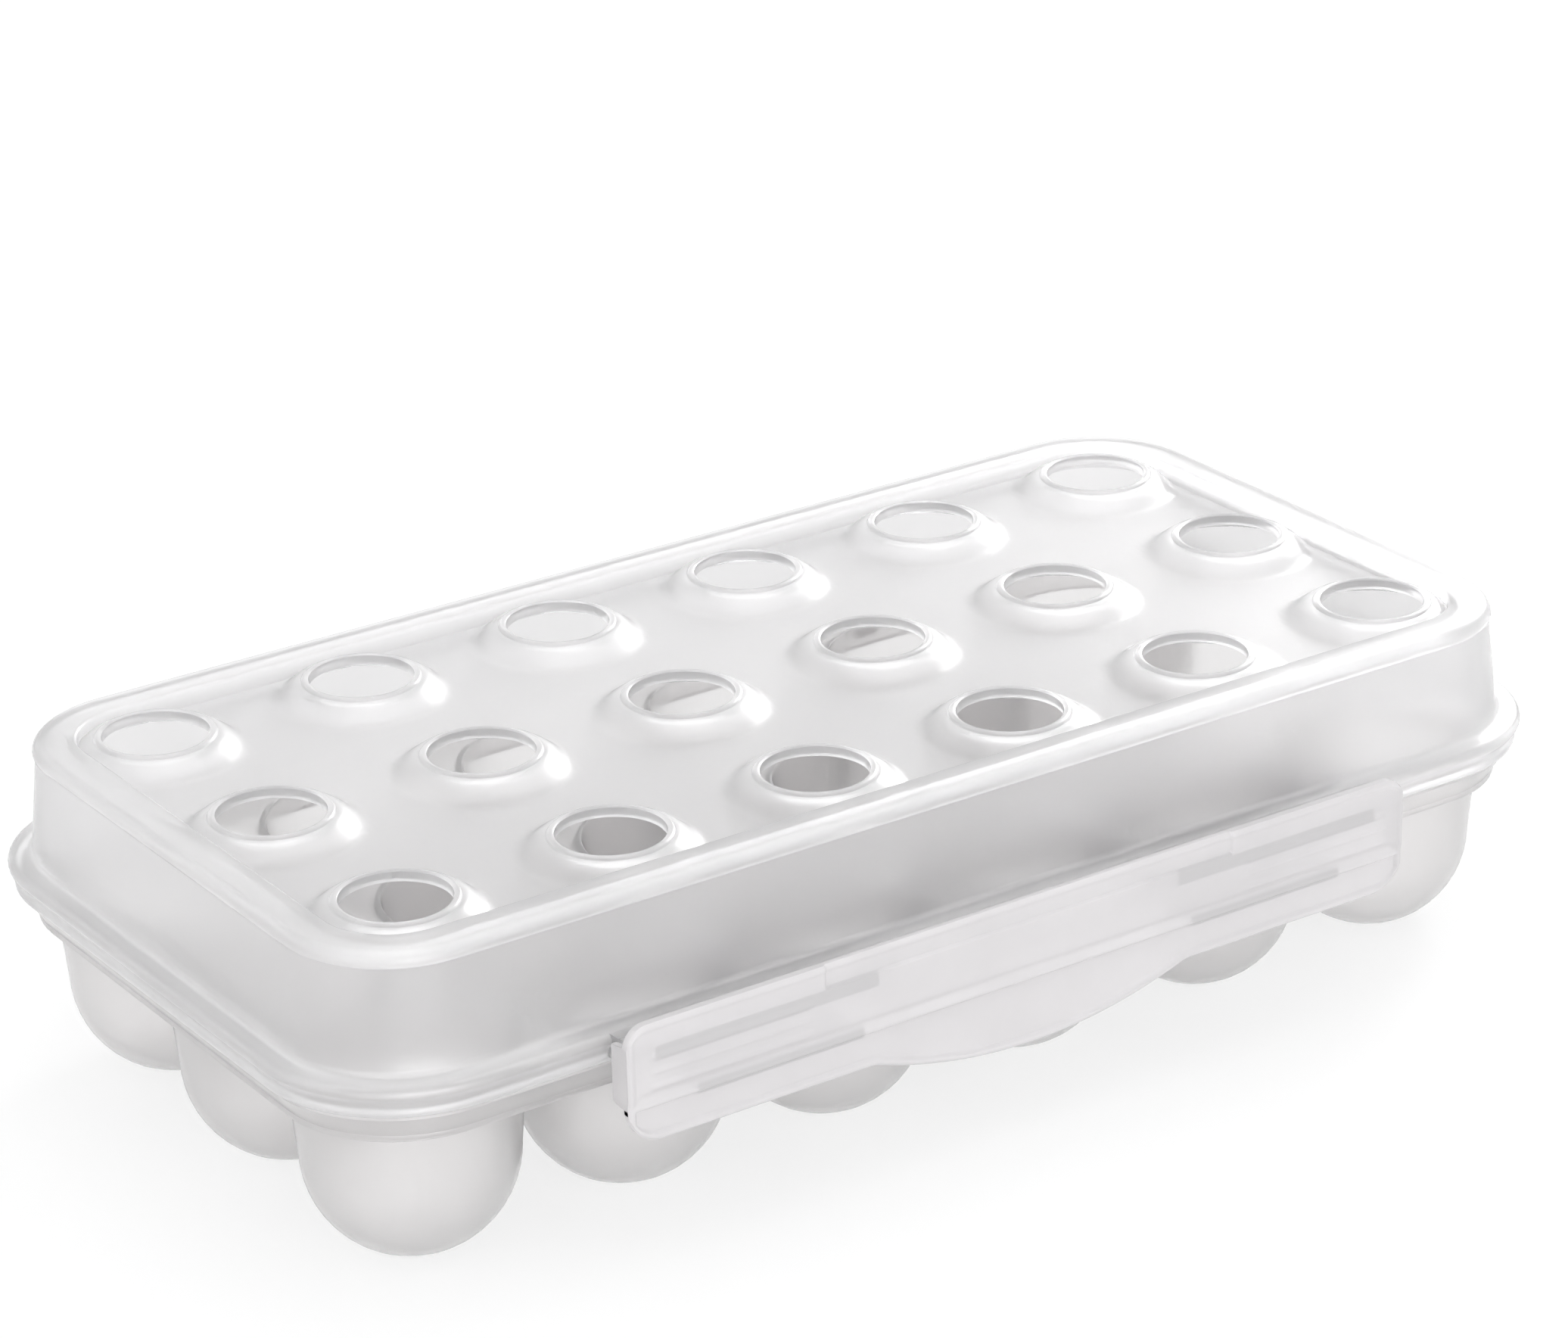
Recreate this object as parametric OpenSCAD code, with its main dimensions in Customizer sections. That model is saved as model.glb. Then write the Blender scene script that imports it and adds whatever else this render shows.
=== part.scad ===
// Egg keeper with a flip lid: a tray of eighteen egg cups, a hinged lid with a
// vent hole over each egg, and one long latch across the front of the lid.
// All sizes are millimetres. +X runs along the long side, the latch faces -Y,
// and the keeper stands on the flat feet of its cups at Z = 0.

/* [Egg grid] */
// Number of cups along the long side
columns = 6; // [2:1:8]
// Number of cups from front to rear
rows = 3; // [2:1:3]
// Distance between neighbouring cup centres
cup_pitch = 50; // [49.5:0.5:60]

/* [Egg cups] */
// Height of the tray from the feet of the cups to the top of its rim
tray_height = 43; // [38:1:60]
// Outer radius of a cup just under the deck
cup_top_r = 24.2; // [23.4:0.1:24.6]
// Outer radius of the round bottom of a cup
cup_ball_r = 22.5; // [20:0.5:23]
// Height of the centre of the round bottom above the feet
cup_ball_z = 21.1; // [19:0.1:22]
// Wall of a cup
cup_wall = 1.6; // [1:0.1:2.5]
// Thickness of the deck between the cups
deck_t = 1.6; // [1:0.1:3]

/* [Tray rim] */
// Deck that lies outside the outermost cup cells
rim_margin = 5; // [4:0.5:12]
// Corner radius of the tray at the top of its rim
rim_corner_r = 29; // [24:0.5:30]
// Height of the rim band
rim_height = 7; // [4:0.5:12]
// How far the rim leans inwards from its top to its foot
rim_lean = 3.5; // [1:0.5:4]
// Thickness of the rim band at its top
rim_wall = 5.2; // [5:0.1:5.6]

/* [Lid] */
// Height of the lid from its lower edge to the top of its border
lid_height = 32.7; // [28:0.1:60]
// Gap between the closed lid and the tray rim
lid_gap = 0.3; // [0.2:0.05:0.6]
// Height of the flange round the lower edge of the lid
flange_height = 7.5; // [6:0.1:9]
// Height of the sloping shoulder on top of the flange
shoulder_height = 1.6; // [1:0.1:3]
// How far the flange stands out past the tray rim
flange_reach = 3; // [2:0.1:3.5]
// How far the lid wall stands in from the edge of the flange
wall_inset = 5; // [4:0.5:8]
// How far the lid wall leans inwards over its height
wall_lean = 2.3; // [1:0.1:4]
// Thickness of the lid wall
lid_wall_t = 1.8; // [1.2:0.1:3]
// Width of the raised border round the top
border_w = 9.5; // [7:0.5:12]
// Height of the raised border above its shoulder
border_h = 3; // [2:0.5:5]
// Rounding of the outer edge of the border, taken as a lean
border_lean = 2.4; // [0.5:0.1:2.5]
// Depth of the panel below the top of the border
panel_depth = 4; // [3.6:0.2:6]
// Thickness of the panel
panel_t = 1.8; // [1.2:0.1:2.5]

/* [Vent domes] */
// Radius of the vent hole over each egg
vent_r = 11.5; // [6:0.5:12]
// Radius of a dome where it meets the panel
dome_base_r = 19; // [17:0.5:22]
// Radius of the flat top of a dome
dome_top_r = 13.6; // [13.2:0.1:15]
// Height of a dome above the panel
dome_h = 3.4; // [1:0.1:3.4]
// Width of the raised lip round a vent hole
lip_w = 1.2; // [0.6:0.1:1.5]
// Height of the raised lip above the dome
lip_h = 0.6; // [0.3:0.1:0.6]

/* [Latch] */
// Length of the latch bar
latch_len = 198; // [150:1:210]
// Height of the latch bar from its top edge to its lower edge
latch_h = 26; // [24:0.5:29]
// Height of the top edge of the latch above the flange
latch_rise = 4.2; // [1:0.1:4.4]
// Thickness of the latch bar
latch_t = 2; // [1.5:0.1:2.4]
// Radius of the two lower corners of the latch
latch_corner_r = 8; // [4:0.5:10]
// Extra depth of the thumb tab below the latch bar
tab_drop = 7; // [3:0.5:10]
// Half width of the thumb tab
tab_half = 40; // [25:1:60]
// Height of the lower, thinner band of the latch
low_band_h = 8.5; // [6:0.5:9.5]
// Depth by which the lower band stands back
low_band_set = 0.8; // [0.3:0.1:1]
// Width of the bead round the lower band
bead_w = 1.4; // [1:0.1:2]
// Number of grip ribs at each end of the latch
ribs = 3; // [1:1:4]
// Length of a grip rib
rib_len = 30; // [15:1:38]
// Distance of the ribs from the end of the latch
rib_end = 6; // [4:0.5:12]
// Distance between neighbouring ribs
rib_pitch = 3.2; // [2:0.1:3.6]
// Width of a rib
rib_w = 1; // [0.8:0.1:1.5]
// How far a rib stands out of the latch
rib_out = 0.5; // [0.3:0.1:1]
// Thickness of the return at each end of the latch
return_t = 1.6; // [1:0.1:1.7]
// Depth of the return behind the latch bar
return_depth = 4; // [2:0.5:4]
// Half width of the open slit between the two latch barrels
slit_half = 33; // [20:1:40]
// Width of each lug on the lid that carries the latch
lug_w = 5; // [3:0.5:8]
// Distance of the outer lugs from the ends of the latch
lug_end = 2; // [2:0.5:6]
// Thickness of the web that joins a barrel to the latch
web_t = 3; // [2:0.2:4]

/* [Hinges] */
// Radius of the latch and lid pins
pin_r = 1.5; // [1.2:0.1:1.8]
// Running gap of a pin in its hole, and between barrel ends
pin_gap = 0.3; // [0.2:0.05:0.5]
// Outer radius of a hinge barrel
barrel_r = 3.2; // [3:0.1:3.3]
// Distance of both hinge axes out from the edge of the flange
axis_reach = 3.5; // [3.5:0.1:5]
// Distance of each rear hinge from the middle of the keeper
hinge_x = 90; // [40:1:105]
// Length of the lid barrel of a rear hinge
lid_barrel_len = 20; // [10:1:30]
// Width of each tray ear of a rear hinge
ear_w = 7; // [4:0.5:10]
// Depth of an ear below the hinge axis
ear_h = 5.1; // [4:0.1:7]
// How far a pin reaches into its ear or lug
pin_reach = 3; // [2:0.5:3.5]

/* [Catch] */
// Length of each catch on the front of the tray rim
catch_len = 40; // [20:1:60]
// How far a catch stands out of the rim
catch_out = 2.2; // [1:0.1:2.6]
// Height of a catch
catch_h = 3; // [2:0.2:3.4]
// Thickness of a hook
hook_t = 2; // [1.2:0.1:3]
// Gap between a catch and the hook of the latch
hook_gap = 0.5; // [0.3:0.1:1]
// Distance of each catch from the middle of the keeper
catch_x = 62; // [40:1:68]

/* [Hidden] */
$fn = 96;
cup_names = [for (r = [1 : rows]) for (c = [1 : columns]) str("cup_", r, "_", c)];
panel_names = [for (c = [1 : columns]) str("lid_panel_", c)];
frost = [0.90, 0.89, 0.90];
frost_latch = [0.86, 0.85, 0.86];
grid_x = columns * cup_pitch / 2;
grid_y = rows * cup_pitch / 2;
// Corner centres are shared by every rounded outline of the keeper.
core_x = grid_x + rim_margin - rim_corner_r;
core_y = grid_y + rim_margin - rim_corner_r;
rim_in_r = rim_corner_r - rim_wall;
flange_r = rim_corner_r + flange_reach;
wall_r = flange_r - wall_inset;
wall_top_r = wall_r - wall_lean;
lid_z = tray_height + lid_gap;
lid_top = lid_z + lid_height;
flange_top = lid_z + flange_height;
border_z = lid_top - border_h;
border_in_r = wall_top_r - border_w;
panel_top = lid_top - panel_depth;
panel_z = panel_top - panel_t;
edge_y = core_y + flange_r;
rear_axis_y = edge_y + axis_reach;
rear_axis_z = tray_height;
front_axis_y = -edge_y - axis_reach;
front_axis_z = flange_top - barrel_r;
latch_back = front_axis_y - barrel_r;
latch_front = latch_back - latch_t;
latch_top = flange_top + latch_rise;
latch_foot = latch_top - latch_h;
// The whole keeper is centred on its own outline, from latch to rear barrels.
shift_y = -(latch_front - rib_out + rear_axis_y + barrel_r) / 2;
barrel_in = slit_half + lug_w + pin_gap;
barrel_out = latch_len / 2 - lug_end - lug_w - pin_gap;
catch_z = tray_height - rim_height / 2;
catch_face = core_y + rim_corner_r - rim_lean / 2 + catch_out;
eps = 0.01;

module place() {
    translate([0, shift_y, 0]) children();
}

// Rounded rectangle about the shared corner centres.
module outline(r) {
    square([2 * (core_x + r), 2 * core_y], center = true);
    square([2 * core_x, 2 * (core_y + r)], center = true);
    for (sx = [-1, 1])
        for (sy = [-1, 1])
            translate([sx * core_x, sy * core_y]) circle(r);
}

module slab(r, z0, z1) {
    translate([0, 0, z0]) linear_extrude(z1 - z0) outline(r);
}

// Rounded block whose sides lean: radius r0 at z0 and r1 at z1.
module leaning_block(r0, r1, z0, z1) {
    h = z1 - z0;
    translate([0, 0, z0]) {
        for (sx = [-1, 1])
            for (sy = [-1, 1])
                translate([sx * core_x, sy * core_y, 0]) cylinder(h, r0, r1);
        translate([-core_x, 0, 0]) rotate([90, 0, 90]) linear_extrude(2 * core_x)
            polygon([[-core_y - r0, 0], [core_y + r0, 0], [core_y + r1, h], [-core_y - r1, h]]);
        translate([0, core_y, 0]) rotate([90, 0, 0]) linear_extrude(2 * core_y)
            polygon([[-core_x - r0, 0], [core_x + r0, 0], [core_x + r1, h], [-core_x - r1, h]]);
    }
}

function cell_x(c) = (c - (columns + 1) / 2) * cup_pitch;
function cell_y(r) = (r - (rows + 1) / 2) * cup_pitch;

// Plan of rows r0 to r1 in column c of the grid, cut to the rounded outline of
// radius r. An outermost cell reaches out to that outline.
module cell_plan(c, r0, r1, r) {
    x0 = c == 1 ? -core_x - r : cell_x(c) - cup_pitch / 2;
    x1 = c == columns ? core_x + r : cell_x(c) + cup_pitch / 2;
    y0 = r0 == 1 ? -core_y - r : cell_y(r0) - cup_pitch / 2;
    y1 = r1 == rows ? core_y + r : cell_y(r1) + cup_pitch / 2;
    intersection() {
        outline(r);
        translate([x0, y0]) square([x1 - x0, y1 - y0]);
    }
}

// Solid of revolution of a cup, grown inwards by t.
module cup_form(t) {
    translate([0, 0, cup_ball_z])
        cylinder(tray_height - cup_ball_z, cup_ball_r - t, cup_top_r - t);
    intersection() {
        translate([0, 0, cup_ball_z]) sphere(cup_ball_r - t);
        translate([0, 0, t]) cylinder(cup_ball_z - t, cup_ball_r, cup_ball_r);
    }
}

// One egg cup with its share of the deck.
module cup(r, c) {
    color(frost) place() difference() {
        union() {
            translate([0, 0, tray_height - deck_t]) linear_extrude(deck_t)
                cell_plan(c, r, r, rim_in_r);
            translate([cell_x(c), cell_y(r), 0]) cup_form(0);
        }
        translate([cell_x(c), cell_y(r), 0]) {
            cup_form(cup_wall);
            translate([0, 0, tray_height - eps]) cylinder(1, r = cup_top_r - cup_wall);
        }
    }
}

// Leaning band round the deck, which the lid closes on.
module tray_rim() {
    color(frost) place() difference() {
        leaning_block(rim_corner_r - rim_lean, rim_corner_r, tray_height - rim_height, tray_height);
        slab(rim_in_r, tray_height - rim_height - 1, tray_height + 1);
    }
}

// Two beads on the front of the rim that the latch snaps under.
module tray_catches() {
    rim_face = core_y + rim_corner_r - rim_lean;
    color(frost) place() difference() {
        for (sx = [-1, 1])
            translate([sx * catch_x - catch_len / 2, -catch_face, catch_z - catch_h / 2])
                cube([catch_len, catch_face - rim_face + 1, catch_h]);
        leaning_block(rim_corner_r - rim_lean, rim_corner_r, tray_height - rim_height, tray_height);
    }
}

// Rear hinge ears of the tray, one pair on each side.
module hinge_ears(side) {
    ear_gap = lid_barrel_len / 2 + pin_gap;
    reach = rear_axis_y - core_y - rim_in_r - rim_wall / 2;
    color(frost) place() difference() {
        for (sx = [-1, 1])
            translate([side * hinge_x + sx * (ear_gap + ear_w / 2), rear_axis_y, rear_axis_z]) {
                rotate([0, 90, 0]) cylinder(ear_w, r = barrel_r, center = true);
                translate([-ear_w / 2, -reach, -ear_h]) cube([ear_w, reach, ear_h]);
            }
        translate([side * hinge_x, rear_axis_y, rear_axis_z]) rotate([0, 90, 0])
            cylinder(2 * (ear_gap + pin_reach + pin_gap), r = pin_r + pin_gap, center = true);
        leaning_block(rim_corner_r - rim_lean, rim_corner_r, tray_height - rim_height, tray_height);
    }
}

// Flange round the foot of the lid, widest under its shoulder.
module lid_flange() {
    shoulder_z = flange_top - shoulder_height;
    color(frost) place() difference() {
        union() {
            leaning_block(rim_corner_r, flange_r, lid_z, shoulder_z);
            leaning_block(flange_r, wall_r, shoulder_z, flange_top);
        }
        slab(wall_r - lid_wall_t, lid_z - 1, flange_top + 1);
    }
}

module lid_wall() {
    color(frost) place() difference() {
        leaning_block(wall_r, wall_top_r, flange_top, border_z);
        leaning_block(wall_r - lid_wall_t, wall_top_r - lid_wall_t, flange_top - eps, border_z + eps);
    }
}

// Raised border round the top, with the lip that holds the panel.
module lid_border() {
    color(frost) place() {
        difference() {
            leaning_block(wall_top_r, wall_top_r - border_lean, border_z, lid_top);
            slab(border_in_r, border_z - 1, lid_top + 1);
        }
        difference() {
            slab(border_in_r + lid_wall_t, panel_z, border_z);
            slab(border_in_r, panel_z - 1, border_z + 1);
        }
    }
}

// One column of the recessed top panel, with a vent dome over each egg.
module lid_panel(c) {
    color(frost) place() difference() {
        intersection() {
            union() {
                translate([0, 0, panel_z]) linear_extrude(panel_t) cell_plan(c, 1, rows, border_in_r);
                for (r = [1 : rows])
                    translate([cell_x(c), cell_y(r), panel_top - eps]) {
                        cylinder(dome_h + eps, dome_base_r, dome_top_r);
                        cylinder(dome_h + lip_h + eps, r = vent_r + lip_w);
                    }
            }
            slab(border_in_r, panel_z - 1, lid_top);
        }
        for (r = [1 : rows])
            translate([cell_x(c), cell_y(r), panel_z]) {
                translate([0, 0, -eps])
                    cylinder(dome_h + eps, dome_base_r - panel_t, dome_top_r - panel_t);
                cylinder(panel_t + dome_h + 1, r = vent_r);
            }
    }
}

// Lid half of a rear hinge: an arm, a barrel and two stub pins.
module lid_hinge(side) {
    shoulder_z = flange_top - shoulder_height;
    arm = rear_axis_y - core_y - rim_corner_r;
    pin_len = lid_barrel_len + 2 * (pin_gap + pin_reach);
    color(frost) place() difference() {
        translate([side * hinge_x, rear_axis_y, rear_axis_z]) {
            rotate([0, 90, 0]) cylinder(lid_barrel_len, r = barrel_r, center = true);
            rotate([0, 90, 0]) cylinder(pin_len, r = pin_r, center = true);
            translate([-lid_barrel_len / 2, -arm, lid_gap]) cube([lid_barrel_len, arm, barrel_r - lid_gap]);
        }
        leaning_block(rim_corner_r, flange_r, lid_z, shoulder_z);
    }
}

// Two lugs on the front flange that carry one half of the latch.
module latch_lugs(side) {
    lug_r = barrel_r - pin_gap;
    lug_top = barrel_r - 2 * pin_gap;
    bore_len = barrel_out - barrel_in + 2 * (pin_reach + 2 * pin_gap);
    shoulder_z = flange_top - shoulder_height;
    color(frost) place() difference() {
        for (x = [slit_half, barrel_out + pin_gap])
            translate([side * (x + lug_w / 2), front_axis_y, front_axis_z]) {
                rotate([0, 90, 0]) cylinder(lug_w, r = lug_r, center = true);
                translate([-lug_w / 2, 0, -lug_r]) cube([lug_w, axis_reach + flange_reach, lug_r + lug_top]);
            }
        translate([side * (slit_half + barrel_out + pin_gap + lug_w) / 2, front_axis_y, front_axis_z])
            rotate([0, 90, 0]) cylinder(bore_len, r = pin_r + pin_gap, center = true);
        leaning_block(rim_corner_r, flange_r, lid_z, shoulder_z);
        leaning_block(flange_r, wall_r, shoulder_z, flange_top);
    }
}

// Front outline of the latch in X and Z, drawn in by an inset all round.
module latch_plan(inset) {
    half = latch_len / 2 - inset;
    foot = latch_foot + inset;
    corner_r = latch_corner_r - inset;
    tab_r = (tab_half * tab_half + tab_drop * tab_drop) / (2 * tab_drop);
    translate([-half, foot + corner_r]) square([2 * half, latch_top - foot - corner_r]);
    translate([-half + corner_r, foot]) square([2 * (half - corner_r), latch_top - foot]);
    for (sx = [-1, 1])
        translate([sx * (half - corner_r), foot + corner_r]) circle(corner_r);
    intersection() {
        translate([0, latch_foot - tab_drop + tab_r]) circle(tab_r - inset, $fn = 240);
        translate([-half, latch_foot - tab_drop]) square([2 * half, tab_drop + corner_r + inset]);
    }
}

// Bar of the latch: an upper band with grip ribs at both ends, over a lower
// band that stands back inside a bead, and a return along each end.
module latch_bar() {
    half = latch_len / 2;
    ridge_z = latch_foot + low_band_h;
    return_z = latch_foot + latch_corner_r;
    color(frost_latch) place() {
        difference() {
            translate([0, latch_back, 0]) rotate([90, 0, 0]) linear_extrude(latch_t) latch_plan(0);
            translate([0, latch_front + low_band_set, 0]) rotate([90, 0, 0])
                linear_extrude(low_band_set + 1) intersection() {
                    latch_plan(bead_w);
                    translate([-half, latch_foot - tab_drop - 1])
                        square([2 * half, tab_drop + low_band_h + 1]);
                }
        }
        for (sx = [-1, 1]) {
            translate([sx * (half - return_t / 2) - return_t / 2, latch_back - latch_t / 2, return_z])
                cube([return_t, return_depth + latch_t / 2, front_axis_z + pin_r - return_z]);
            for (i = [1 : ribs])
                translate([sx * (half - rib_end - rib_len / 2) - rib_len / 2, latch_front - rib_out,
                        ridge_z + i * rib_pitch])
                    cube([rib_len, rib_out + latch_t / 2, rib_w]);
        }
    }
}

// Barrel behind one half of the latch, with a stub pin at each end.
module latch_barrel(side) {
    mid = side * (barrel_in + barrel_out) / 2;
    len = barrel_out - barrel_in;
    color(frost_latch) place() translate([mid, front_axis_y, front_axis_z]) {
        rotate([0, 90, 0]) cylinder(len, r = barrel_r - pin_gap, center = true);
        rotate([0, 90, 0]) cylinder(len + 2 * (pin_gap + pin_reach), r = pin_r, center = true);
        translate([-len / 2, -barrel_r, -web_t / 2]) cube([len, barrel_r, web_t]);
    }
}

// Ribs behind the latch whose tips snap under the catches.
module latch_hooks() {
    hook_z = catch_z - catch_h / 2 - hook_gap;
    tip = -catch_face - hook_gap;
    color(frost_latch) place() for (sx = [-1, 1])
        translate([sx * catch_x - catch_len / 2, latch_back, hook_z - hook_t])
            cube([catch_len, tip - latch_back, hook_t]);
}

for (r = [1 : rows])
    for (c = [1 : columns])
        cup(r, c);
for (c = [1 : columns])
    lid_panel(c);
tray_rim();
tray_catches();
hinge_ears(-1);  // hinge_ears_left
hinge_ears(1);  // hinge_ears_right
lid_flange();
lid_wall();
lid_border();
lid_hinge(-1);  // lid_hinge_left
lid_hinge(1);  // lid_hinge_right
latch_lugs(-1);  // latch_lugs_left
latch_lugs(1);  // latch_lugs_right
latch_bar();
latch_barrel(-1);  // latch_barrel_left
latch_barrel(1);  // latch_barrel_right
latch_hooks();
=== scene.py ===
import math
import bmesh
import bpy
import mathutils
import numpy as np
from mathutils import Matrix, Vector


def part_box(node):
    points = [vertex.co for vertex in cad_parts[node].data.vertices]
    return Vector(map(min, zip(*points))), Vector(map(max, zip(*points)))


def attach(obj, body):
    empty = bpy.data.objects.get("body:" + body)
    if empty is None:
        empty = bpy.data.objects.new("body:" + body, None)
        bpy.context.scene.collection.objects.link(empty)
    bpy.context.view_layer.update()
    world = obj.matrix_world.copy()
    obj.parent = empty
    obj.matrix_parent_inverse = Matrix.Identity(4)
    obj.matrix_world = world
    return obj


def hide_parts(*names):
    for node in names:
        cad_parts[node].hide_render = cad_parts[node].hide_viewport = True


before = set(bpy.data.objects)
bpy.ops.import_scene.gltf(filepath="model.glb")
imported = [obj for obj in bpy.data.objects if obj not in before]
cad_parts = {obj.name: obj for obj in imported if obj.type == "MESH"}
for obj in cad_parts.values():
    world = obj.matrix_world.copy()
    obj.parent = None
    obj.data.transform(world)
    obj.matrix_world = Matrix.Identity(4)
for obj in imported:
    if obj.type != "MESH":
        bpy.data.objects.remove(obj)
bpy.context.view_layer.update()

# Tray: one injection moulding of milky polypropylene. Eighteen round cups hang
# from a flat deck, and a leaning rim band runs round the deck. The cups stand on
# their flattened feet.
columns, rows, pitch = 6, 3, 0.050
tray_low, tray_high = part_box("tray_rim")
mid_y = (tray_low[1] + tray_high[1]) / 2
deck_z, rim_foot_z = tray_high[2], tray_low[2]
outer_r, deck_edge_r = 0.029, 0.0238
core_x = tray_high[0] - outer_r
core_y = (tray_high[1] - tray_low[1]) / 2 - outer_r
tray_t = 0.0016
cup_mouth_r, cup_lip = 0.0226, 0.0009
cup_ball_r, cup_ball_z = 0.0209, 0.0211
around = 80


def cell_rays():
    """Unit directions from a square cell's centre at equal angles, and along each the
    distance to the cell's edge: half the pitch over the larger of |cos| and |sin|."""
    angle = np.arange(around) * 2 * np.pi / around
    ray = np.stack([np.cos(angle), np.sin(angle)], 1)
    return ray, (pitch / 2 / np.abs(ray).max(1))[:, None]


def corner_core(points):
    """Nearest points of the inner rectangle that joins the corner centres: x and y each
    held between minus and plus its half size."""
    return np.stack([np.clip(points[..., 0], -core_x, core_x),
                     np.clip(points[..., 1], -core_y, core_y)], -1)


def draw_in(points, radius):
    """Nearest points of the rounded rectangle: those farther than the radius from the
    inner rectangle come back to that distance."""
    core = corner_core(points)
    away = points - core
    length = np.linalg.norm(away, axis=-1, keepdims=True)
    return core + away * (radius / np.maximum(length, radius))


def deck_outline():
    """Points along the rectangle of all cells, anticlockwise, where the cells' own edge
    points lie: half a pitch times the tangent of equal angles, in each cell."""
    step = pitch / 2 * np.tan(np.linspace(-np.pi / 4, np.pi / 4, around // 4 + 1))[:-1]
    along_x = (column_x[:, None] + step).ravel()
    along_y = (row_y[:, None] + step).ravel()
    front = np.stack([along_x, np.full(along_x.size, -rows * pitch / 2)], 1)
    right = np.stack([np.full(along_y.size, columns * pitch / 2), along_y], 1)
    return np.concatenate([front, right, -front, -right])


def raised(plan, height):
    """Rings of points in plan, with one height for each ring or for each point."""
    return np.concatenate([plan, np.broadcast_to(height, plan.shape[:2])[..., None]], -1)


def carried_round(profile, start_z, end_z):
    """Rings of a profile carried round the rounded rectangle: a station keeps its corner
    centre and outward direction, and takes each profile point's distance and height. The
    first and last rings take heights of their own at every station."""
    core = corner_core(outline)
    away = outline - core
    away /= np.linalg.norm(away, axis=1, keepdims=True)
    distance, height = np.array(profile).T[..., None]
    height = np.repeat(height, len(outline), 1)
    height[0], height[-1] = start_z, end_z
    return raised(core + away * distance[..., None], height)


def quads(rings, stations, first=0, closed=True):
    """Quads between neighbouring rings of a grid whose vertex number is ring times
    stations plus station. A closed grid joins its last station to its first."""
    ring, station = np.meshgrid(np.arange(rings - 1),
                                np.arange(stations if closed else stations - 1), indexing="ij")
    after = (station + 1) % stations
    return np.stack([ring * stations + station, ring * stations + after,
                     (ring + 1) * stations + after, (ring + 1) * stations + station],
                    -1).reshape(-1, 4) + first


def joined(grids):
    """Vertices and faces of several closed grids, numbered one after another, with the
    whole moved from the cups' own middle to the keeper's."""
    first = np.cumsum([0] + [grid[..., 0].size for grid in grids])
    vertices = np.concatenate([grid.reshape(-1, 3) for grid in grids]) + [0, mid_y, 0]
    return vertices, np.concatenate([quads(*grid.shape[:2], k) for grid, k in zip(grids, first)])


def moulding(name, vertices, faces, sharp):
    """Mesh piece with its coincident points merged and its faces turned outwards, shaded
    smooth except over edges sharper than the given angle in degrees."""
    merge_gap, sliver = 2e-6, 1e-7
    mesh = bpy.data.meshes.new(name)
    mesh.from_pydata(vertices.tolist(), [], faces.tolist())
    bm = bmesh.new()
    bm.from_mesh(mesh)
    bmesh.ops.remove_doubles(bm, verts=bm.verts, dist=merge_gap)
    bmesh.ops.dissolve_degenerate(bm, dist=sliver, edges=bm.edges)
    bmesh.ops.recalc_face_normals(bm, faces=bm.faces)
    bm.to_mesh(mesh)
    bm.free()
    mesh.shade_smooth()
    mesh.set_sharp_from_angle(angle=math.radians(sharp))
    piece = bpy.data.objects.new(name, mesh)
    bpy.context.scene.collection.objects.link(piece)
    return piece


def arc(centre_r, centre_z, radius, start, stop, count):
    """Profile points of an arc between two angles, in degrees from the outward side:
    r = centre + radius cos a, z = centre + radius sin a."""
    turn = np.radians(np.linspace(start, stop, count))
    return [(centre_r + radius * math.cos(a), centre_z + radius * math.sin(a)) for a in turn]


def over(level, *points):
    """Profile points given as a distance out and a height over a level."""
    return [(r, level + rise) for r, rise in points]


def cup_profile(grow):
    """A cup's inside, or with a growth its outside, from the mouth down: a rounded lip, a
    tapering side, a ball r = R cos a, z = centre - R sin a, and a flat foot across it."""
    mouth_r, ball_r = cup_mouth_r + grow, cup_ball_r + grow
    level, foot_z = deck_z - grow, tray_t - grow
    side_z = level - cup_lip
    foot_angle = math.asin((cup_ball_z - foot_z) / ball_r)
    foot_r = ball_r * math.cos(foot_angle)
    lip = over(level, (mouth_r + cup_lip, 0), (mouth_r + cup_lip * 0.3, -cup_lip * 0.3),
               (mouth_r, -cup_lip))
    side = [(mouth_r + (ball_r - mouth_r) * t, side_z + (cup_ball_z - side_z) * t)
            for t in (0.35, 0.7)]
    ball = arc(0, cup_ball_z, ball_r, 0, -math.degrees(foot_angle), 12)
    foot = over(foot_z, (foot_r * 0.93, 0), (foot_r * 0.5, 0), (0, 0))
    return np.array(lip + side + ball + foot)


def tray_cell(centre, grow):
    """One cup with its share of the deck: two rings from the cell's edge in towards the
    mouth, then the cup's profile turned about its axis."""
    distance, height = cup_profile(grow).T[..., None]
    edge = draw_in(centre + ray * reach, deck_edge_r)
    mouth = centre + ray * distance[0]
    cup = centre + ray * distance[..., None]
    return np.concatenate([raised(np.stack([edge, (edge + mouth) / 2]), deck_z - grow),
                           raised(cup, height)])


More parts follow.
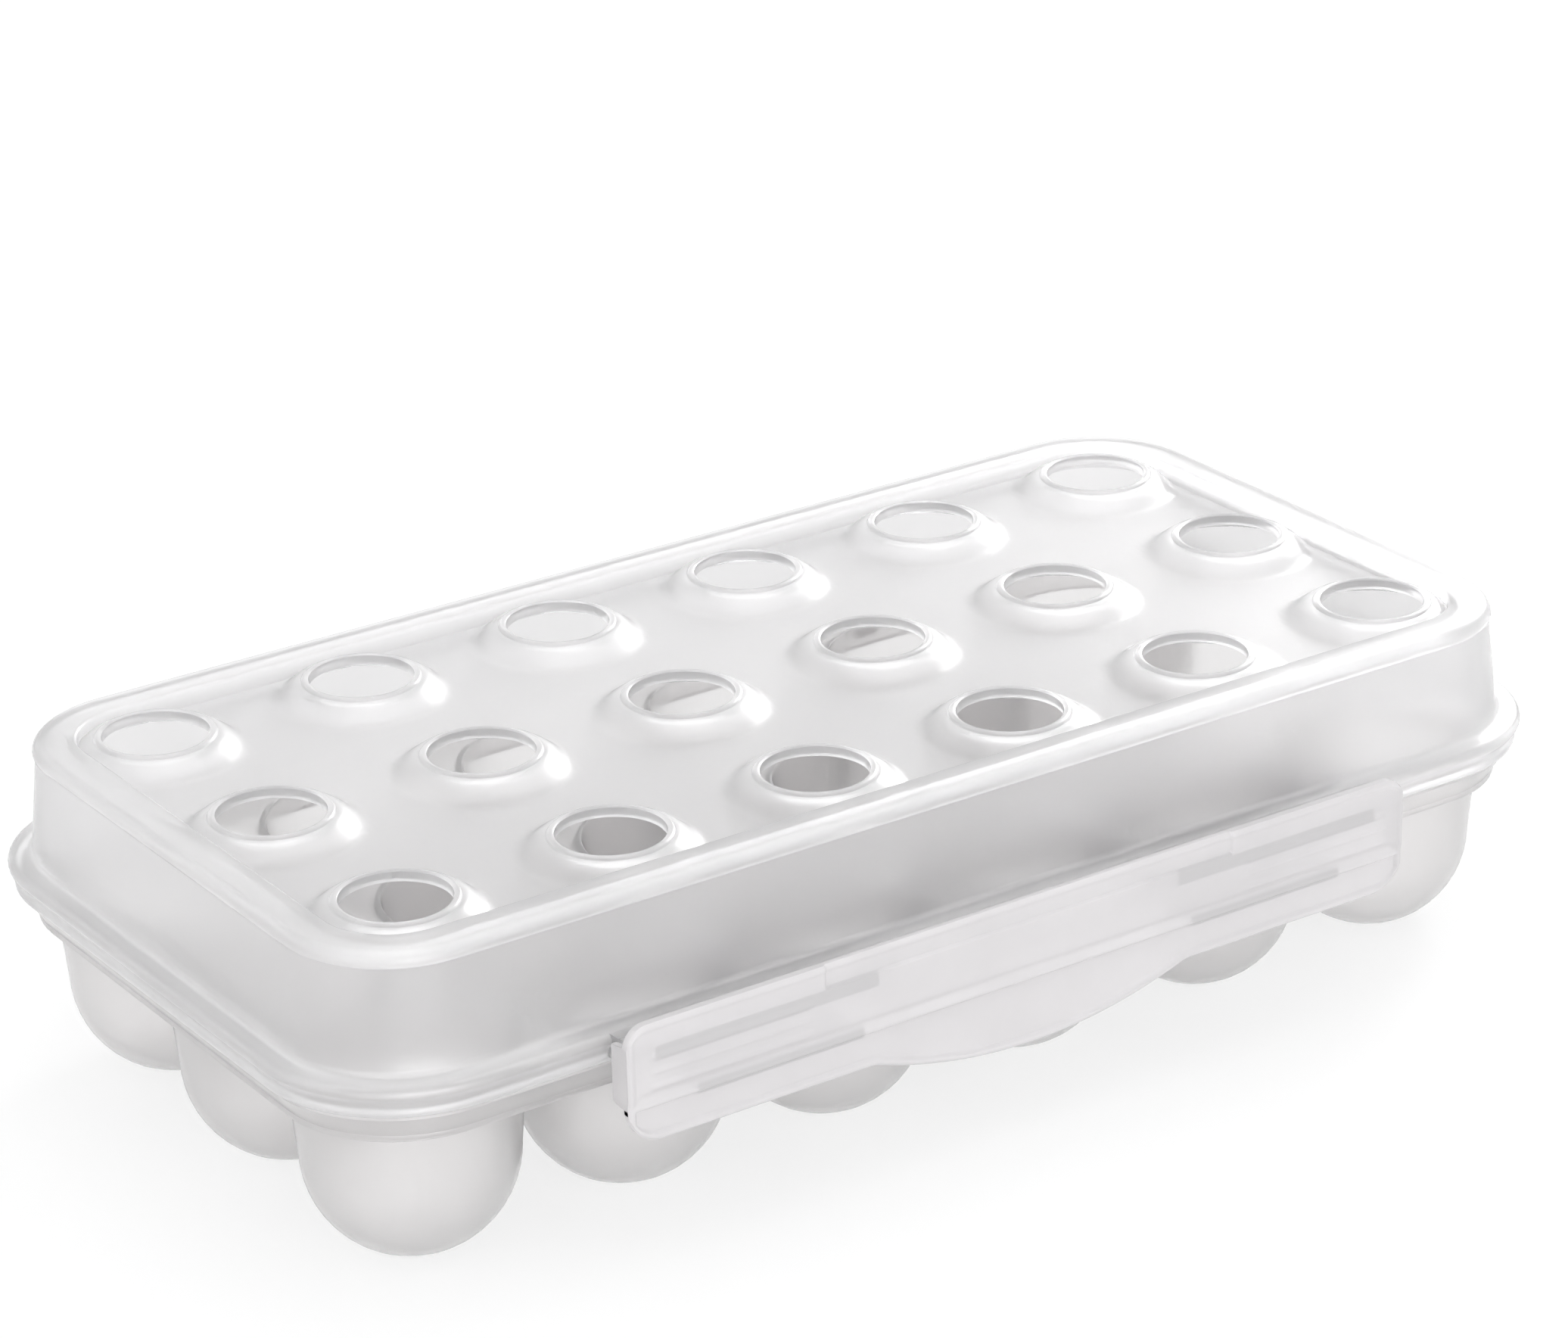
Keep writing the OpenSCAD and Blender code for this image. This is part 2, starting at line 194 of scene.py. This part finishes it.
ray, reach = cell_rays()
column_x = (np.arange(columns) - (columns - 1) / 2) * pitch
row_y = (np.arange(rows) - (rows - 1) / 2) * pitch
cup_centres = [np.array((x, y)) for y in row_y for x in column_x]
outline = deck_outline()
rim_round = 0.0008
rim_profile = [(deck_edge_r, deck_z)]
rim_profile += arc(outer_r - rim_round, deck_z - rim_round, rim_round, 90, 10, 5)
rim_profile += over(rim_foot_z, (0.0272, 0.0035), (0.0264, 0.0018), (0.0262, 0.0016),
                    (0.0264, 0.0010), (0.0262, 0.0003), (0.0257, 0), (0.0242, 0), (0.0238, 0.0004))
rim_profile += [(deck_edge_r, deck_z - tray_t)]
cells = [tray_cell(centre, grow) for centre in cup_centres for grow in (0, tray_t)]
rim_band = carried_round(rim_profile, deck_z, deck_z - tray_t)
tray_shell = moulding("tray_shell", *joined(cells + [rim_band]), 35)


class Wire:
    """One socket of a material: sums and products add Math nodes."""

    def __init__(self, tree, socket=None):
        self.tree, self.socket = tree, socket

    def node(self, kind, settings=None, inputs=None, out=0):
        """Any node: its type, its settings, then the numbers or wires of its sockets."""
        new = self.tree.nodes.new(kind)
        for key, value in (settings or {}).items():
            if key == "stops":
                ramp = new.color_ramp
                while len(ramp.elements) < len(value):
                    ramp.elements.new(1.0)
                for element, (place, colour) in zip(ramp.elements, value):
                    element.position, element.color = place, (*colour, 1)
            else:
                setattr(new, key, value)
        for key, value in (inputs or {}).items():
            if isinstance(value, Wire):
                self.tree.links.new(value.socket, new.inputs[key])
            else:
                new.inputs[key].default_value = value
        return Wire(self.tree, new.outputs[out]) if len(new.outputs) else new

    def maths(self, operation, first, second):
        return self.node("ShaderNodeMath", {"operation": operation}, {0: first, 1: second})

    def noise(self, scale, detail, **more):
        """Cloudy noise fixed to the object, at a scale in lumps to the metre."""
        place = self.node("ShaderNodeTexCoord", out="Object")
        return self.node("ShaderNodeTexNoise", None,
                         {"Vector": place, "Scale": scale, "Detail": detail, **more})

    def __add__(self, other):
        return self.maths("ADD", self, other)

    def __mul__(self, other):
        return self.maths("MULTIPLY", self, other)

    __radd__, __rmul__ = __add__, __mul__


def empty_material(name):
    """A new material with no nodes in it, and a wire to start them from."""
    material = bpy.data.materials.new(name)
    material.use_nodes = True
    material.node_tree.nodes.clear()
    return material, Wire(material.node_tree)


def frosted(name, pale, shade, clearness, rough):
    """Milky polypropylene: part clear and part white, with a faint cloudiness in the
    moulding, a fine satin grain and long shallow flow waves. Cloud and grain also vary
    the roughness, each about its own mean of one half."""
    cloud_play, grain_play = 0.12, 0.05
    material, start = empty_material(name)
    cloud = start.noise(scale=28.0, detail=4.0, Roughness=0.6)
    grain = start.noise(scale=2600.0, detail=2.0)
    waves = start.noise(scale=90.0, detail=2.0)
    stops = [(0.3, shade), (0.7, pale)]
    colour = start.node("ShaderNodeValToRGB", {"stops": stops}, {"Fac": cloud})
    fine = start.node("ShaderNodeBump", None,
                      {"Height": grain, "Strength": 0.02, "Distance": 0.0001})
    bumps = start.node("ShaderNodeBump", None,
                       {"Height": waves, "Strength": 0.10, "Distance": 0.002, "Normal": fine})
    roughness = cloud * cloud_play + grain * grain_play + (rough - (cloud_play + grain_play) / 2)
    shader = start.node("ShaderNodeBsdfPrincipled", None, {
        "Base Color": colour, "Roughness": roughness, "Normal": bumps, "IOR": 1.40,
        "Transmission Weight": clearness, "Coat Weight": 0.5, "Coat Roughness": 0.16})
    start.node("ShaderNodeOutputMaterial", None, {"Surface": shader})
    return material


tray_plastic = frosted("tray_plastic", pale=(0.985, 0.975, 0.975), shade=(0.96, 0.95, 0.95),
                       clearness=0.87, rough=0.35)
tray_shell.data.materials.append(tray_plastic)
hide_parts("tray_rim", *[f"cup_{r}_{c}" for r in range(1, 4) for c in range(1, 7)])
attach(tray_shell, "tray")
for name in ("tray_catches", "hinge_ears_left", "hinge_ears_right"):
    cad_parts[name].material_slots[0].material = tray_plastic

# Lid: one moulding of the same plastic. A leaning wall stands on a beaded flange,
# and a thick rounded border frames a lower panel with a low dome and a vent hole
# with a raised lip over each cup.
lid_foot, flange_top = (corner[2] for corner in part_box("lid_flange"))
lid_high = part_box("lid_border")[1][2]
panel_top = lid_high - 0.004
panel_t, panel_edge_r = 0.0018, 0.0152
dome_foot_r, dome_top_r, dome_rise = 0.0194, 0.0132, 0.0034
lip_r, lip_half, lip_rise = 0.0122, 0.0009, 0.0006
flank_shares = np.array([1, 0.86, 0.72, 0.62, 0.52, 0.43, 0.34, 0.26, 0.18, 0.1, 0.04, 0])
lip_radii = np.array([0.0130, 0.0129, 0.0126, 0.0122, 0.0118, 0.0115])


def ease(value, low, high):
    """Smooth change from 0 at one limit to 1 at the other: t t (3 - 2 t)."""
    t = np.clip((value - low) / (high - low), 0, 1)
    return t * t * (3 - 2 * t)


def dome_height(distance):
    """Height over the panel at a distance from a vent's centre: a smooth rise from the
    dome's foot in to its top, and half an ellipse for the lip beside the hole."""
    lip = np.clip(1 - ((distance - lip_r) / lip_half) ** 2, 0, 1) ** 0.5
    return dome_rise * ease(distance, dome_foot_r, dome_top_r) + lip_rise * lip


def panel_cell(centre):
    """One vent with its share of the panel: rings from the cell's edge in over the dome's
    flank and lip to the hole, then back out below them. The underside copies the top at
    the panel's thickness, but is flat below the dome's top."""
    edge = draw_in(centre + ray * reach, panel_edge_r)
    dome = centre + ray * dome_top_r
    plan = np.concatenate([dome + (edge - dome) * flank_shares[:, None, None],
                           centre + ray * lip_radii[:, None, None]])
    top = panel_top + dome_height(np.linalg.norm(plan - centre, axis=-1))
    under = top - panel_t
    under[-1 - len(lip_radii):] = panel_top + dome_rise - panel_t
    return np.concatenate([raised(plan, top), raised(plan, under)[::-1]])


panel_edge = draw_in(outline, panel_edge_r)
nearest_vent = np.min([np.linalg.norm(panel_edge - centre, axis=1) for centre in cup_centres], 0)
panel_edge_z = panel_top + dome_height(nearest_vent)
border_round, crown_round, bead_round, foot_round = 0.0010, 0.0026, 0.0016, 0.0009
wall_high, wall_low = np.array([[0.0243, lid_high - 0.0040], [0.0265, flange_top + 0.0010]])
lid_profile = [(panel_edge_r, panel_top)]
lid_profile += arc(panel_edge_r + border_round, lid_high - border_round, border_round, 180, 100, 5)
lid_profile += over(lid_high, (0.0190, 0))
lid_profile += arc(0.0222, lid_high - crown_round, crown_round, 88, 4, 9)
lid_profile += over(lid_high, (0.0246, -0.0031), (0.0242, -0.0034))
lid_profile += np.linspace(wall_high, wall_low, 6).tolist()
lid_profile += over(flange_top, (0.0269, 0.0002), (0.0279, -0.0003))
lid_profile += arc(0.0303, flange_top - 0.0020, bead_round, 95, -30, 8)
lid_profile += over(flange_top, (0.0308, -0.0036), (0.0304, -0.0045), (0.0304, -0.0052))
lid_profile += arc(0.0299, lid_foot + 0.0012, foot_round, 40, -60, 6)
lid_profile += over(lid_foot, (0.0296, 0), (0.0254, 0), (0.0252, 0.0002))
lid_profile += over(flange_top, (0.0252, -0.0010))
lid_profile += over(lid_high, (0.0229, -0.0044), (0.0220, -0.0030), (0.0176, -0.0030),
                    (0.0170, -0.0036))
lid_profile += over(panel_top - panel_t, (0.0170, 0.0002), (0.0168, 0), (panel_edge_r, 0))
lid_body = carried_round(lid_profile, panel_edge_z, panel_edge_z - panel_t)
lid_shell = moulding("lid_shell", *joined([panel_cell(c) for c in cup_centres] + [lid_body]), 40)
lid_plastic = frosted("lid_plastic", pale=(0.99, 0.985, 0.99), shade=(0.97, 0.965, 0.97),
                      clearness=0.88, rough=0.35)
lid_shell.data.materials.append(lid_plastic)
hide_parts("lid_flange", "lid_wall", "lid_border", *[f"lid_panel_{c}" for c in range(1, 7)])
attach(lid_shell, "lid")
for name in ("lid_hinge_left", "lid_hinge_right", "latch_lugs_left", "latch_lugs_right"):
    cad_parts[name].material_slots[0].material = lid_plastic

# Latch: one long moulded bar with a rounded lower edge and a thumb tab. A ridge
# runs its whole length over a lower band that stands back inside a bead, and three
# short grip ribs stand at each end.
latch_low, latch_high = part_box("latch_bar")
latch_half, latch_top = latch_high[0], latch_high[2]
latch_foot = latch_top - 0.026
face_y, plate_t = latch_low[1] + 0.0005, 0.002
foot_corner_r, top_corner_r = 0.008, 0.005
tab_half, tab_drop = 0.040, 0.007
ridge_z = latch_foot + 0.0085
band_top_z = ridge_z - 0.0014
strip_half, strip_end = 0.0515, 0.0523
rib_pitch = 0.0032
return_foot_z = latch_foot + foot_corner_r
return_top_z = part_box("latch_lugs_left")[1][2] + 0.0001


def lower_edge(x):
    """Height of the bar's lower edge at x: a quarter circle at each end, a straight foot,
    and a long shallow arc for the thumb tab in the middle."""
    into = np.clip(np.abs(x) - (latch_half - foot_corner_r), 0, foot_corner_r)
    corner = latch_foot + foot_corner_r - np.sqrt(foot_corner_r ** 2 - into ** 2)
    tab_r = (tab_half ** 2 + tab_drop ** 2) / (2 * tab_drop)
    bow = latch_foot - tab_drop + tab_r - np.sqrt(tab_r ** 2 - x ** 2)
    return np.minimum(corner, bow)


def upper_edge(x):
    """Height of the bar's upper edge at x: straight, with a quarter circle at each end."""
    into = np.clip(np.abs(x) - (latch_half - top_corner_r), 0, top_corner_r)
    return latch_top - top_corner_r + np.sqrt(top_corner_r ** 2 - into ** 2)


def crest(z, middle, half):
    """Rounded rib along the bar, 1 at its middle: exp of minus ((z - middle) / half) squared."""
    return np.exp(-((z - middle) / half) ** 2)


def bar_relief(x, z):
    """How far the front of the bar stands out at x and z: the sum of the recess inside its
    bead, the ridge with a groove over it, the grip ribs, the strip that stands back along
    the top of the middle, the bead round the upper band and the rounded outer edge."""
    ridge_out, rib_out, bead_out = 0.0004, 0.0003, 0.0003
    recess_in, groove_in, strip_in, edge_in = 0.0008, 0.0004, 0.0006, 0.0007
    side = latch_half - np.abs(x)
    over_foot = np.minimum(side, z - lower_edge(x))
    inside = np.minimum(over_foot, upper_edge(x) - z)
    recess = ease(over_foot, 0.0012, 0.0020) * ease(z, ridge_z - 0.0004, ridge_z - 0.0012)
    ridge = crest(z, ridge_z, 0.0006) * ease(side, 0.001, 0.003)
    groove = crest(z, ridge_z + 0.0019, 0.0008) * ease(side, 0.0015, 0.004)
    grip = ease(side, 0.0440, 0.0425) * ease(side, 0.0045, 0.0065)
    ribs = sum(crest(z, ridge_z + rib_pitch * i + 0.0004, 0.0006) for i in (1, 2, 3)) * grip
    strip = (ease(z, latch_top - 0.0052, latch_top - 0.0046)
             * ease(np.abs(x), strip_end, strip_half))
    bead = ease(inside, 0.0018, 0.0010) * ease(z, ridge_z, ridge_z + 0.002)
    rounding = ease(inside, 0.0009, 0) ** 2
    return (ridge_out * ridge + rib_out * ribs + bead_out * bead
            - recess_in * recess - groove_in * groove - strip_in * strip - edge_in * rounding)


def end_return(x, z):
    """How far the back of the bar reaches towards the lid: a wall turned back from each
    end, between the round corner and the latch's own pins."""
    wall = ease(latch_half - np.abs(x), 0.0018, 0.0014)
    span = (ease(z, return_foot_z, return_foot_z + 0.0005)
            * ease(z, return_top_z, return_top_z - 0.0005))
    return (latch_high[1] - face_y - plate_t) * wall * span


straight_half = latch_half - foot_corner_r
end_x = straight_half + foot_corner_r * np.sin(np.linspace(0, np.pi / 2, 30))
strip_x = np.array([0.0514, 0.0517, 0.0520, 0.0523])
station = np.unique(np.round(np.concatenate([
    -end_x, np.linspace(-straight_half, straight_half, 196), -strip_x, strip_x, end_x]), 7))
band_share = np.unique(np.concatenate([np.linspace(0, 0.16, 9), np.linspace(0.16, 1, 22)]))
foot_z = lower_edge(station)
band_rows = foot_z + band_share[:, None] * (band_top_z - foot_z)
level = np.concatenate([np.linspace(band_top_z, latch_top - 0.0012, 58)[1:],
                        latch_top - np.array([0.0009, 0.0006, 0.0003, 0.0])])
drawn_down = np.clip((level - (latch_top - 0.006)) / 0.006, 0, 1)[:, None]
upper_rows = level[:, None] - drawn_down * (latch_top - upper_edge(station))
z = np.concatenate([band_rows, upper_rows])
x = np.broadcast_to(station, z.shape)
front = np.stack([x, face_y - bar_relief(x, z), z], -1)
back = np.stack([x, face_y + plate_t + end_return(x, z), z], -1)
number = np.arange(z.size).reshape(z.shape)
brim = np.concatenate([number[0], number[1:, -1], number[-1, -2::-1], number[-2:0:-1, 0]])
brim_next = np.roll(brim, -1)
latch_faces = np.concatenate([
    quads(*z.shape, closed=False), quads(*z.shape, z.size, closed=False)[:, ::-1],
    np.stack([brim, brim + z.size, brim_next + z.size, brim_next], 1)])
latch_shell = moulding("latch_shell", np.concatenate([front, back]).reshape(-1, 3), latch_faces, 40)
latch_plastic = frosted("latch_plastic", pale=(0.80, 0.785, 0.795), shade=(0.75, 0.735, 0.745),
                        clearness=0.44, rough=0.34)
latch_shell.data.materials.append(latch_plastic)
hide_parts("latch_bar")
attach(latch_shell, "latch")
for name in ("latch_barrel_left", "latch_barrel_right", "latch_hooks"):
    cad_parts[name].material_slots[0].material = latch_plastic

# Floor: a plain pale sheet that the keeper stands on, clear when seen from below.
floor_half, floor_z = 6, -0.0002
floor_mesh = bpy.data.meshes.new("floor")
floor_mesh.from_pydata([(x * floor_half, y * floor_half, floor_z)
                        for x, y in ((-1, -1), (1, -1), (1, 1), (-1, 1))], [], [(0, 1, 2, 3)])
floor = bpy.data.objects.new("floor", floor_mesh)
bpy.context.scene.collection.objects.link(floor)


def seen_straight(start):
    """1 for a ray from the camera, one mirrored in a gloss or one passed through plastic."""
    seen = start.node("ShaderNodeLightPath", out="Is Camera Ray")
    for way in ("Is Glossy Ray", "Is Transmission Ray"):
        seen = seen.maths("MAXIMUM", seen, start.node("ShaderNodeLightPath", out=way))
    return seen


paper, start = empty_material("paper")
matt = start.node("ShaderNodeBsdfDiffuse", None, {"Color": (0.86, 0.86, 0.86, 1)})
white = start.node("ShaderNodeEmission", None, {"Color": (1, 1, 1, 1), "Strength": 1.0})
mixed = start.node("ShaderNodeMixShader", None, {0: seen_straight(start) * 0.75, 1: matt, 2: white})
clear = start.node("ShaderNodeBsdfTransparent")
below = start.node("ShaderNodeNewGeometry", out="Backfacing")
one_sided = start.node("ShaderNodeMixShader", None, {0: below, 1: mixed, 2: clear})
start.node("ShaderNodeOutputMaterial", None, {"Surface": one_sided})
floor_mesh.materials.append(paper)

# Studio light: an even pale surround, a soft lamp low behind the right end, a large
# one overhead, and weaker ones in front and at the left end.
world = bpy.data.worlds.new("studio")
bpy.context.scene.world = world
world.use_nodes = True
world.node_tree.nodes.clear()
start = Wire(world.node_tree)
surround = start.node("ShaderNodeBackground", None,
                      {"Color": (1, 1, 1, 1), "Strength": seen_straight(start) * 0.07 + 0.93})
start.node("ShaderNodeOutputWorld", None, {"Surface": surround})
lamps = (("key", (1.05, 0.55, 0.55), 0.45, 9.0), ("overhead", (0.1, -0.2, 1.3), 1.2, 5.0),
         ("front", (-0.4, -1.2, 0.35), 0.9, 6.5), ("left", (-1.2, -0.2, 0.5), 0.9, 3.0))
lit_point = mathutils.Vector((0, 0, 0.03))
for name, place, size, watts in lamps:
    lamp = bpy.data.lights.new(name, "AREA")
    lamp.size, lamp.energy = size, watts
    holder = bpy.data.objects.new(name, lamp)
    holder.location = place
    holder.rotation_euler = (lit_point - mathutils.Vector(place)).to_track_quat("-Z", "Y").to_euler()
    bpy.context.scene.collection.objects.link(holder)

# Camera: the photograph's view, from the front left and above.
azimuth, elevation, roll = np.radians([-33.84, 23.03, -1.51])
distance, aim = 1.276, np.array([0.0989, 0.1466, 0.0])
towards = np.array([math.sin(azimuth) * math.cos(elevation),
                    -math.cos(azimuth) * math.cos(elevation), math.sin(elevation)])
level_right = np.cross(-towards, [0, 0, 1])
level_right /= np.linalg.norm(level_right)
level_up = np.cross(level_right, -towards)
right = level_right * math.cos(roll) + level_up * math.sin(roll)
up = level_up * math.cos(roll) - level_right * math.sin(roll)
lens = bpy.data.cameras.new("camera")
lens.sensor_width, lens.lens = 36, 115.2
camera = bpy.data.objects.new("camera", lens)
pose = np.eye(4)
pose[:3] = np.stack([right, up, towards, aim + towards * distance], 1)
camera.matrix_world = mathutils.Matrix(pose.tolist())
bpy.context.scene.collection.objects.link(camera)
bpy.context.scene.camera = camera
bpy.context.scene.view_settings.view_transform = "Standard"
